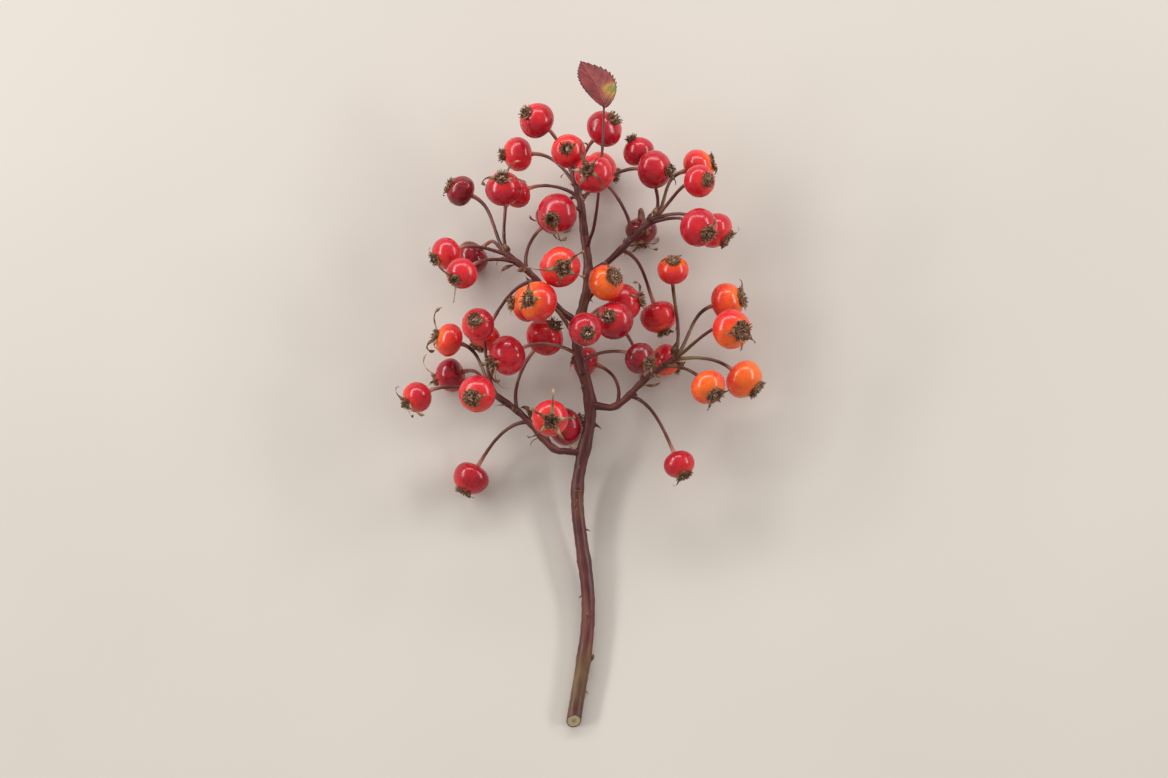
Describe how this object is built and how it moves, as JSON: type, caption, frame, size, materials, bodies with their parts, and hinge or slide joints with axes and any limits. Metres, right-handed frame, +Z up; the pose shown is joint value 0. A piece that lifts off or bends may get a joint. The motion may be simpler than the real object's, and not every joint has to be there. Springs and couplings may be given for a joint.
{
  "type": "rose hip sprig",
  "caption": "Cut woody rose stem lying on its side, with fans of long thin stalks that carry round glossy red hips with dry brown calyxes, and one toothed red leaf.",
  "frame": {"origin": "middle of the sprig's footprint, on the surface that it lies on", "axes": "+Y along the stem from its cut end to the hips, +Z up from the surface, +X to the right as seen from above with the hips at the top"},
  "size_m": [0.1628, 0.2976, 0.0694],
  "materials": {
    "bark": "dark maroon-brown young bark, satin, olive-green in places",
    "hip_skin": "glossy crimson skin, orange-red round some calyxes",
    "dry_calyx": "dry, matte, olive-brown and brushy",
    "leaf_blade": "satin leaf, crimson with a yellow-green blotch"
  },
  "bodies": {
    "root": {"stem": "bark", "lower_left_branch": "bark", "lower_right_branch": "bark", "front_branch": "bark", "upper_left_branch": "bark", "upper_right_branch": "bark", "top_truss": "bark", "hip_01": "hip_skin", "hip_02": "hip_skin", "hip_03": "hip_skin", "hip_04": "hip_skin", "hip_05": "hip_skin", "hip_06": "hip_skin", "hip_07": "hip_skin", "hip_08": "hip_skin", "hip_09": "hip_skin", "hip_10": "hip_skin", "hip_11": "hip_skin", "hip_12": "hip_skin", "hip_13": "hip_skin", "hip_14": "hip_skin", "hip_15": "hip_skin", "hip_16": "hip_skin", "hip_17": "hip_skin", "hip_18": "hip_skin", "hip_19": "hip_skin", "hip_20": "hip_skin", "hip_21": "hip_skin", "hip_22": "hip_skin", "hip_23": "hip_skin", "hip_24": "hip_skin", "hip_25": "hip_skin", "hip_26": "hip_skin", "hip_27": "hip_skin", "hip_28": "hip_skin", "hip_29": "hip_skin", "hip_30": "hip_skin", "hip_31": "hip_skin", "hip_32": "hip_skin", "hip_33": "hip_skin", "hip_34": "hip_skin", "hip_35": "hip_skin", "hip_36": "hip_skin", "hip_37": "hip_skin", "hip_38": "hip_skin", "hip_39": "hip_skin", "hip_40": "hip_skin", "hip_41": "hip_skin", "hip_42": "hip_skin", "hip_43": "hip_skin", "hip_44": "hip_skin", "hip_45": "hip_skin", "hip_46": "hip_skin", "hip_47": "hip_skin", "hip_48": "hip_skin", "hip_49": "hip_skin", "hip_50": "hip_skin", "leaf": "leaf_blade"}
  },
  "joints": []
}
